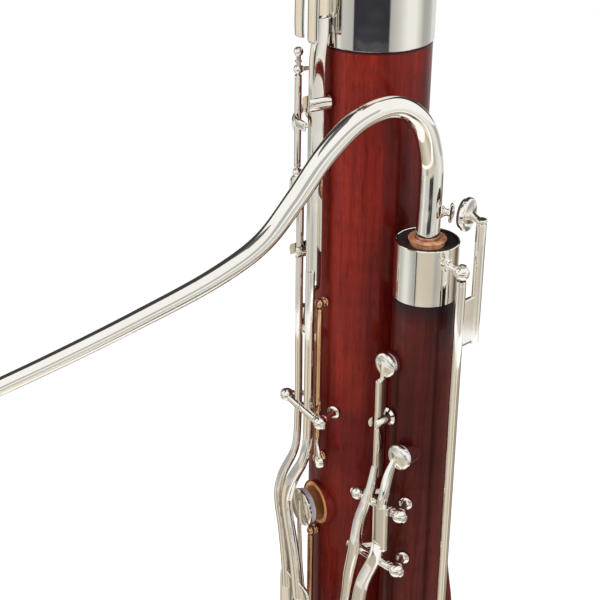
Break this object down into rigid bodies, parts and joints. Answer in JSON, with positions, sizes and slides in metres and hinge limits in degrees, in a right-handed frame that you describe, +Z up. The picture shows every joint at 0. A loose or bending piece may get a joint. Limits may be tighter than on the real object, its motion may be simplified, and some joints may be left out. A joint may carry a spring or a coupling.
{
  "type": "quint bassoon",
  "caption": "Small double-reed woodwind with boot, wing, bass and bell sections, curved metal crook and sprung silver keywork.",
  "frame": {"origin": "centre of the boot cap's bottom face", "axes": "+Z up along the joints, from the boot cap to the bell; -X to the bass joint, +X to the wing joint; -Y is the thumb side"},
  "size_m": [0.0744, 0.1788, 0.885],
  "materials": {
    "silver": "bright silver plate, polished",
    "red_maple": "red-brown stained maple under clear gloss lacquer",
    "dark_maple": "dark stained maple under clear gloss lacquer",
    "black_liner": "black, turned, satin face",
    "cork": "orange-brown waxed cork",
    "pad": "white skin over felt",
    "thread": "waxed red thread winding"
  },
  "bodies": {
    "instrument": {"b_flat_lever_guide": "silver", "bass_joint": "red_maple", "bass_tenon_wrap": "thread", "bell_axle": "silver", "bell_joint": "red_maple", "bell_lower_ferrule": "silver", "bell_tenon_wrap": "thread", "bell_top_ring": "silver", "boot_cap": "silver", "boot_gasket": "cork", "boot_joint": "dark_maple", "boot_top_band": "silver", "boot_u_tube": "silver", "c_sharp_axle": "silver", "e_flat_lever_guide": "silver", "high_a_axle": "silver", "high_c_axle": "silver", "high_c_lever_guide": "silver", "lever_axle": "silver", "low_b_axle": "silver", "low_c_axle": "silver", "low_d_axle": "silver", "low_d_seat_ring": "silver", "low_e_axle": "silver", "low_f_axle": "silver", "strap_ring_bracket": "silver", "whisper_axle": "silver", "whisper_touch_axle": "silver", "wing_joint": "dark_maple", "wing_receiver_liner": "black_liner", "wing_tenon_wrap": "thread", "wing_top_ferrule": "silver"},
    "crook": {"crook": "silver", "crook_cork": "cork", "crook_vent_nipple": "silver"},
    "strap_ring": {"strap_ring": "silver"},
    "whisper_key": {"whisper_key": "silver", "whisper_pad": "pad"},
    "whisper_touch": {"whisper_touch": "silver"},
    "high_c_key": {"high_c_key": "silver", "high_c_pad": "pad"},
    "high_a_key": {"high_a_key": "silver", "high_a_pad": "pad"},
    "e_flat_key": {"e_flat_key": "silver", "e_flat_pad": "pad"},
    "b_flat_lever": {"b_flat_lever": "silver"},
    "low_b_key": {"low_b_key": "silver", "low_b_pad": "pad"},
    "bell_key": {"bell_key": "silver", "bell_pad": "pad"},
    "c_sharp_key": {"c_sharp_key": "silver", "c_sharp_pad": "pad"},
    "low_d_key": {"low_d_key": "silver", "low_d_pad": "pad"},
    "low_c_key": {"low_c_key": "silver", "low_c_pad": "pad"},
    "low_e_key": {"low_e_key": "silver", "low_e_pad": "pad"},
    "low_f_key": {"low_f_key": "silver", "low_f_pad": "pad"}
  },
  "joints": [
    {"name": "crook_turn", "type": "hinge", "parent": "instrument", "child": "crook", "pos_m": [0.0147, 0, 0.6], "axis": [0, 0, 1], "range_deg": [-6, 6]},
    {"name": "strap_ring_swing", "type": "hinge", "parent": "instrument", "child": "strap_ring", "pos_m": [0, -0.02228, 0.258], "axis": [1, 0, 0], "range_deg": [-80, 10]},
    {"name": "whisper_key_swing", "type": "hinge", "parent": "instrument", "child": "whisper_key", "pos_m": [0.03205, -0.0009, 0.61], "axis": [0, 0, 1], "range_deg": [0, 12.5], "stiffness_Nm_per_rad": 0.01, "springref_deg": -11.46},
    {"name": "whisper_touch_swing", "type": "hinge", "parent": "instrument", "child": "whisper_touch", "pos_m": [0.0192, -0.0172, 0.432], "axis": [0, 0, 1], "range_deg": [-8.3, 0], "stiffness_Nm_per_rad": 0.02, "springref_deg": 11.46},
    {"name": "high_c_rock", "type": "hinge", "parent": "instrument", "child": "high_c_key", "pos_m": [0.013, -0.01727, 0.507], "axis": [0.9945, 0.1045, 0], "range_deg": [0, 3.4], "stiffness_Nm_per_rad": 0.1, "springref_deg": -17.19},
    {"name": "high_a_rock", "type": "hinge", "parent": "instrument", "child": "high_a_key", "pos_m": [0.01648, -0.01691, 0.4848], "axis": [0.9945, 0.1045, 0], "range_deg": [0, 4], "stiffness_Nm_per_rad": 0.1, "springref_deg": -17.19},
    {"name": "e_flat_rock", "type": "hinge", "parent": "instrument", "child": "e_flat_key", "pos_m": [-0.02086, -0.02393, 0.532], "axis": [0.9925, -0.1219, 0], "range_deg": [0, 1.7], "stiffness_Nm_per_rad": 0.15, "springref_deg": -17.19},
    {"name": "b_flat_lever_rock", "type": "hinge", "parent": "instrument", "child": "b_flat_lever", "pos_m": [-0.01401, -0.02477, 0.532], "axis": [0.9925, -0.1219, 0], "range_deg": [0, 1.2], "stiffness_Nm_per_rad": 0.2, "springref_deg": -17.19},
    {"name": "low_b_swing", "type": "hinge", "parent": "instrument", "child": "low_b_key", "pos_m": [-0.02172, -0.02433, 0.631], "axis": [0, 0, 1], "range_deg": [-5.5, 0], "stiffness_Nm_per_rad": 0.005, "springref_deg": 17.19},
    {"name": "bell_key_rock", "type": "hinge", "parent": "instrument", "child": "bell_key", "pos_m": [-0.01368, -0.02451, 0.718], "axis": [0.9925, -0.1219, 0], "range_deg": [-2.75, 0], "stiffness_Nm_per_rad": 0.05, "springref_deg": 17.19},
    {"name": "c_sharp_swing", "type": "hinge", "parent": "instrument", "child": "c_sharp_key", "pos_m": [-0.01268, -0.0213, 0.559], "axis": [0, 0, 1], "range_deg": [0, 8], "stiffness_Nm_per_rad": 0.02, "springref_deg": -17.19},
    {"name": "low_d_rock", "type": "hinge", "parent": "instrument", "child": "low_d_key", "pos_m": [-0.01353, -0.02493, 0.39], "axis": [0.9925, -0.1219, 0], "range_deg": [-1.55, 0], "stiffness_Nm_per_rad": 0.2, "springref_deg": 17.19},
    {"name": "low_c_swing", "type": "hinge", "parent": "instrument", "child": "low_c_key", "pos_m": [-0.01613, -0.02068, 0.436], "axis": [0, 0, 1], "range_deg": [-11, 0], "stiffness_Nm_per_rad": 0.02, "springref_deg": 17.19},
    {"name": "low_e_rock", "type": "hinge", "parent": "instrument", "child": "low_e_key", "pos_m": [-0.003, -0.024, 0.206], "axis": [1, 0, 0], "range_deg": [0, 4], "stiffness_Nm_per_rad": 0.1, "springref_deg": -17.19},
    {"name": "low_f_rock", "type": "hinge", "parent": "instrument", "child": "low_f_key", "pos_m": [-0.003, 0.024, 0.16], "axis": [-1, 0, 0], "range_deg": [0, 4], "stiffness_Nm_per_rad": 0.1, "springref_deg": -17.19}
  ],
  "couplings": [
    {"joint": "low_b_swing", "follows": "b_flat_lever_rock", "ratio": -4.5833},
    {"joint": "bell_key_rock", "follows": "b_flat_lever_rock", "ratio": -2.2917},
    {"joint": "whisper_key_swing", "follows": "whisper_touch_swing", "ratio": -1.5}
  ]
}
